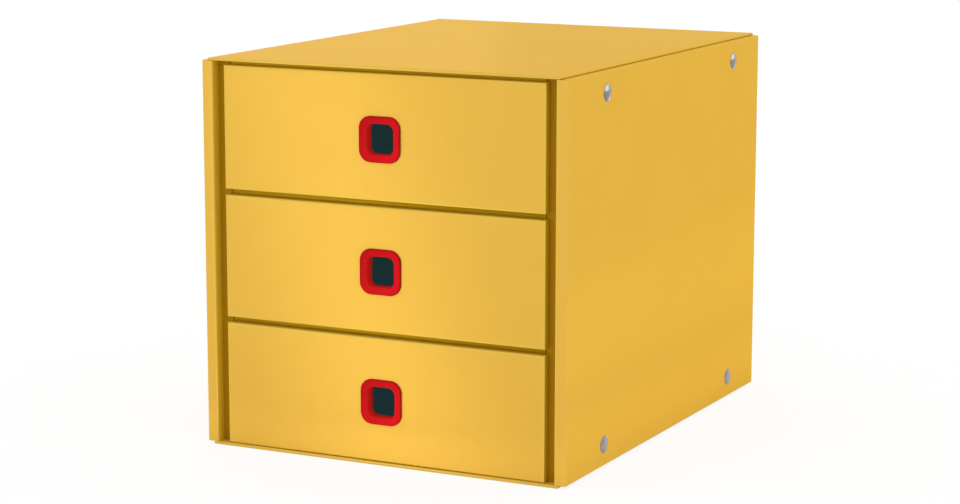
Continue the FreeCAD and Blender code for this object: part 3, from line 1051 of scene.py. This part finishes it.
studio = {
    "floor": 12.0,  # metres from the middle to each side
    "paper": ((0.91, 0.91, 0.91, 1), (0.93, 0.93, 0.93, 1)),
    "paperGrain": 3.0,
    "white": 1.03,  # how bright the floor looks where no shadow falls
    "shadow": 0.15,  # share of the floor's real shading that is seen
    "sky": 1.0,
    "overhead": 0.14,  # how much darker the sky is straight above
    "panes": 12,  # squares along each side of a softbox
}
softboxes = {  # corners in metres, softness across and along, strength near and far
    "lowFront": {
        "corners": ((-0.069, -0.1, 0.001), (0.181, -0.1, 0.001), (-2.04, -4, 0.001), (-2.61, -4, 0.001)),
        "softness": (0.5, 0.01), "strength": (1.6, 3.4)},
    "lowSide": {
        "corners": ((0.23, -0.1, 0.001), (0.48, -0.1, 0.001), (0.48, 2.2, 0.001), (0.23, 2.2, 0.001)),
        "softness": (0.25, 0.1), "strength": (0.45, 0.45)},
    "footSide": {
        "corners": ((0.146, -0.4, 0.001), (0.24, -0.4, 0.001), (0.24, 0.6, 0.001), (0.146, 0.6, 0.001)),
        "softness": (0.3, 0.1), "strength": (0.35, 0.35)},
    "footFront": {
        "corners": ((-0.5, -0.182, 0.001), (-0.5, -0.29, 0.001), (0.2, -0.29, 0.001), (0.2, -0.182, 0.001)),
        "softness": (0.3, 0.1), "strength": (0.35, 0.35)},
    "backLeft": {
        "corners": ((-0.93, 2, 0.1), (-2.6, 1.2, 0.1), (-2.6, 1.2, 1.2), (-0.93, 2, 1.2)),
        "softness": (0.05, 0.1), "strength": (0.45, 0.45)},
    "backRight": {
        "corners": ((0.8, 3.8, 0.2), (3.9, 1.2, 0.05), (3.9, 1.2, 0.85), (0.8, 3.8, 0.85)),
        "softness": (0.5, 0.06), "strength": (2.3, 2.3)},
    "rimSide": {
        "corners": ((0.1, 0.6, 0.001), (0.32, 0.6, 0.001), (0.32, 1.3, 0.001), (0.1, 1.3, 0.001)),
        "softness": (0.25, 0.2), "strength": (1.5, 1.5)},
}
camera = {
    "place": (0.8473, -1.7155, 0.4668),
    "turn": 26.605,  # to the left, in degrees
    "down": 10.148,
    "roll": 0.065,
    "lens": 96.2,
    "sensor": 36.0,
    "farthest": 100.0,
}
pureWhite = (1, 1, 1, 1)


def stageObject(name, mesh, material):
    mesh.materials.append(material)
    thing = newObject(name, mesh)
    return thing


def softboxLight(name, softness, strength):
    # light that fades at the panel's edges and lets everything behind it show
    material, maker = newMaterial(name)
    parts = maker.separate(maker.value("UVMap"))
    glow = parts[1] * (strength[1] - strength[0]) + strength[0]
    for across, soft in zip(parts, softness):
        ramp = (across.math("MINIMUM", across, 1.0 - across) / soft).clamped()
        glow = ramp * ramp * (3.0 - ramp * 2.0) * glow
    light = maker.value("Emission", {"Color": pureWhite, "Strength": glow})
    clear = maker.value("BsdfTransparent")
    both = maker.value("AddShader", {0: light, 1: clear})
    maker.add("OutputMaterial", {"Surface": both})
    return material


def makeSoftbox(name, corners, softness, strength):
    # a panel of light that only reflections see
    bm = bmesh.new()
    layer = bm.loops.layers.uv.new("across")
    a, b, c, d = (Vector(corner) for corner in corners)
    panes = studio["panes"]
    shares = [k / panes for k in range(panes + 1)]
    grid = [[bm.verts.new(a.lerp(b, u).lerp(d.lerp(c, u), v)) for u in shares] for v in shares]
    for i in range(panes):
        for j in range(panes):
            spots = ((j, i), (j + 1, i), (j + 1, i + 1), (j, i + 1))
            face = bm.faces.new([grid[row][column] for column, row in spots])
            for loop, (u, v) in zip(face.loops, spots):
                loop[layer].uv = (u / panes, v / panes)
    mesh = bpy.data.meshes.new(name)
    bm.to_mesh(mesh)
    bm.free()
    panel = stageObject(name, mesh, softboxLight(name, softness, strength))
    for ray in ("camera", "diffuse", "shadow", "transmission", "volume_scatter"):
        setattr(panel, "visible_" + ray, False)


def makeFloor():
    # pale paper that looks white but keeps a share of its shadows
    material, maker = newMaterial("studioFloor")
    grain = maker.noise(maker.coordinates(), studio["paperGrain"])
    paper = maker.mixColour(grain, *studio["paper"])
    matte = maker.value("BsdfDiffuse", {"Color": paper})
    glow = maker.value("Emission", {"Color": pureWhite, "Strength": studio["white"]})
    rays = maker.add("LightPath").outputs
    seen = (Value(maker, rays["Is Camera Ray"]) + Value(maker, rays["Is Glossy Ray"])).clamped()
    mixed = maker.value("MixShader", {0: seen * (1 - studio["shadow"]), 1: matte, 2: glow})
    maker.add("OutputMaterial", {"Surface": mixed})
    mesh = bpy.data.meshes.new("studioFloor")
    side = studio["floor"]
    corners = [(-side, -side, 0), (side, -side, 0), (side, side, 0), (-side, side, 0)]
    mesh.from_pydata(corners, [], [(0, 1, 2, 3)])
    stageObject("studioFloor", mesh, material)


def makeWorld():
    world = bpy.data.worlds.new("studioWorld")
    world.use_nodes = True
    world.node_tree.nodes.clear()
    maker = Maker(world.node_tree)
    height = maker.separate(maker.coordinates("Generated"))[2]
    strength = studio["sky"] - height * height * studio["overhead"]
    sky = maker.value("Background", {"Color": pureWhite, "Strength": strength})
    maker.add("OutputWorld", {"Surface": sky})
    bpy.context.scene.world = world


def makeCamera():
    lens = bpy.data.cameras.new("camera")
    lens.lens = camera["lens"]
    lens.sensor_width = camera["sensor"]
    lens.clip_end = camera["farthest"]
    eye = newObject("camera", lens)
    turn, down, roll = (math.radians(camera[key]) for key in ("turn", "down", "roll"))
    eye.location = camera["place"]
    eye.rotation_euler = (math.pi / 2 - down, -roll, turn)
    bpy.context.scene.camera = eye


makeFloor()
makeWorld()
for name, softbox in softboxes.items():
    makeSoftbox(name, **softbox)
makeCamera()
bpy.context.scene.view_settings.view_transform = "Standard"
print("studio set")
